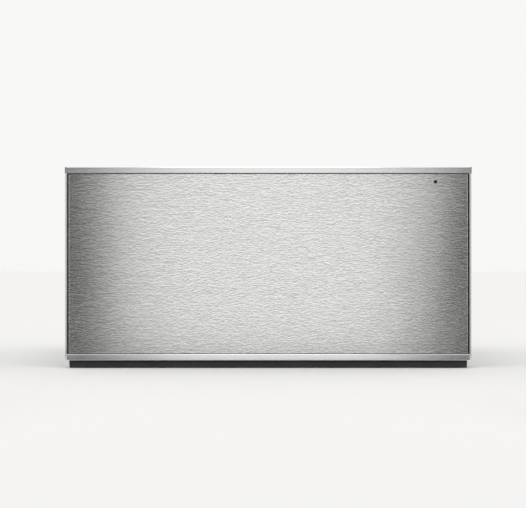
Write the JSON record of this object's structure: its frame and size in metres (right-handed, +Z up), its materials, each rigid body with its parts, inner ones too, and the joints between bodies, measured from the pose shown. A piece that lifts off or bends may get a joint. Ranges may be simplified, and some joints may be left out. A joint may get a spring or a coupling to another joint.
{
  "type": "built in warming drawer",
  "caption": "Handleless built-in warming drawer with a brushed steel front in an aluminium frame, an insulated fan-heated tub on full-extension runners, and a push-to-open latch.",
  "frame": {"origin": "centre of the width and the depth, on the underside that rests on the floor of the niche", "axes": "+Z up, front faces -Y and the drawer opens along -Y, +X to the right of a person facing it"},
  "size_m": [0.59, 0.594, 0.291],
  "materials": {
    "clear_glass": "clear, polished",
    "brushed_stainless": "horizontal brushed grain",
    "satin_aluminium": "satin anodised",
    "black_rubber": "matt",
    "grey_silicone": "matt",
    "dark_flange": "dark grey, satin",
    "zinc_sheet": "galvanised",
    "mineral_wool": "fibrous",
    "zinc_plated_rail": "bright zinc plated",
    "ball_steel": "polished",
    "screw_steel": "zinc plated",
    "black_glass": "black, polished",
    "smoked_glass": "dark grey, satin",
    "black_plastic": "fine texture",
    "white_plastic": "smooth",
    "circuit_board": "lacquered",
    "red_lens": "dark translucent red",
    "heater_sheath": "dark, heat stained",
    "bare_aluminium": "mill finish",
    "motor_core": "lacquered laminations",
    "spring_steel": "drawn wire",
    "latch_plastic": "moulded"
  },
  "bodies": {
    "casing": {"base_plate": "zinc_sheet", "side_panels": "zinc_sheet", "top_panel": "zinc_sheet", "rear_panel": "zinc_sheet", "front_flange": "dark_flange", "lower_trim": "dark_flange", "ceiling_panel": "brushed_stainless", "ceiling_insulation": "mineral_wool", "rail_brackets": "zinc_sheet", "rail_outers": "zinc_plated_rail", "casing_screws": "screw_steel", "stop_buffers": "black_rubber", "latch_housing": "latch_plastic", "latch_spring": "spring_steel", "terminal_box": "white_plastic", "terminal_lid": "white_plastic", "cable_gland": "black_plastic"},
    "drawer": {"frame_top_bar": "satin_aluminium", "frame_bottom_bar": "satin_aluminium", "frame_left_strip": "satin_aluminium", "frame_right_strip": "satin_aluminium", "corner_brackets": "zinc_sheet", "front_pane": "clear_glass", "backing_sheet": "brushed_stainless", "panel_gasket": "black_rubber", "front_insulation": "mineral_wool", "inner_panel": "brushed_stainless", "front_seal": "grey_silicone", "status_lamp": "red_lens", "control_glass": "black_glass", "control_housing": "black_plastic", "control_board": "circuit_board", "drawer_sides": "zinc_sheet", "drawer_rear_sheet": "zinc_sheet", "bottom_tray": "zinc_sheet", "tub": "brushed_stainless", "glass_base": "smoked_glass", "heat_spreader": "bare_aluminium", "heating_element": "heater_sheath", "drawer_insulation": "mineral_wool", "fan_cover": "brushed_stainless", "fan_housing": "zinc_sheet", "ring_heater": "heater_sheath", "fan_motor": "motor_core", "temperature_probe": "zinc_plated_rail", "thermal_cutout": "white_plastic", "power_module": "black_plastic", "drawer_socket": "white_plastic", "rail_inners": "zinc_plated_rail", "drawer_screws": "screw_steel", "latch_striker": "zinc_plated_rail"},
    "left_middle_member": {"left_rail_middle": "zinc_plated_rail"},
    "right_middle_member": {"right_rail_middle": "zinc_plated_rail"},
    "left_outer_ball_cage": {"left_outer_cage": "ball_steel"},
    "right_outer_ball_cage": {"right_outer_cage": "ball_steel"},
    "left_inner_ball_cage": {"left_inner_cage": "ball_steel"},
    "right_inner_ball_cage": {"right_inner_cage": "ball_steel"},
    "plunger": {"latch_plunger": "latch_plastic"},
    "fan": {"fan_wheel": "bare_aluminium", "fan_shaft": "zinc_plated_rail"}
  },
  "joints": [
    {"name": "drawer_slide", "type": "slide", "parent": "casing", "child": "drawer", "axis": [0, -1, 0], "range_m": [-0.003, 0.46]},
    {"name": "left_middle_slide", "type": "slide", "parent": "casing", "child": "left_middle_member", "axis": [0, -1, 0], "range_m": [-0.0015, 0.23]},
    {"name": "right_middle_slide", "type": "slide", "parent": "casing", "child": "right_middle_member", "axis": [0, -1, 0], "range_m": [-0.0015, 0.23]},
    {"name": "left_outer_cage_slide", "type": "slide", "parent": "casing", "child": "left_outer_ball_cage", "axis": [0, -1, 0], "range_m": [-0.00075, 0.115]},
    {"name": "right_outer_cage_slide", "type": "slide", "parent": "casing", "child": "right_outer_ball_cage", "axis": [0, -1, 0], "range_m": [-0.00075, 0.115]},
    {"name": "left_inner_cage_slide", "type": "slide", "parent": "casing", "child": "left_inner_ball_cage", "axis": [0, -1, 0], "range_m": [-0.00225, 0.345]},
    {"name": "right_inner_cage_slide", "type": "slide", "parent": "casing", "child": "right_inner_ball_cage", "axis": [0, -1, 0], "range_m": [-0.00225, 0.345]},
    {"name": "plunger_slide", "type": "slide", "parent": "casing", "child": "plunger", "axis": [0, 1, 0], "range_m": [0, 0.004], "stiffness_N_per_m": 400, "deforming": ["latch_spring"]},
    {"name": "fan_spin", "type": "hinge", "parent": "drawer", "child": "fan", "pos_m": [0, 0.2146, 0.1487], "axis": [0, 1, 0], "continuous": true}
  ],
  "couplings": [
    {"joint": "left_middle_slide", "follows": "drawer_slide", "ratio": 0.5},
    {"joint": "right_middle_slide", "follows": "drawer_slide", "ratio": 0.5},
    {"joint": "left_outer_cage_slide", "follows": "drawer_slide", "ratio": 0.25},
    {"joint": "right_outer_cage_slide", "follows": "drawer_slide", "ratio": 0.25},
    {"joint": "left_inner_cage_slide", "follows": "drawer_slide", "ratio": 0.75},
    {"joint": "right_inner_cage_slide", "follows": "drawer_slide", "ratio": 0.75}
  ]
}
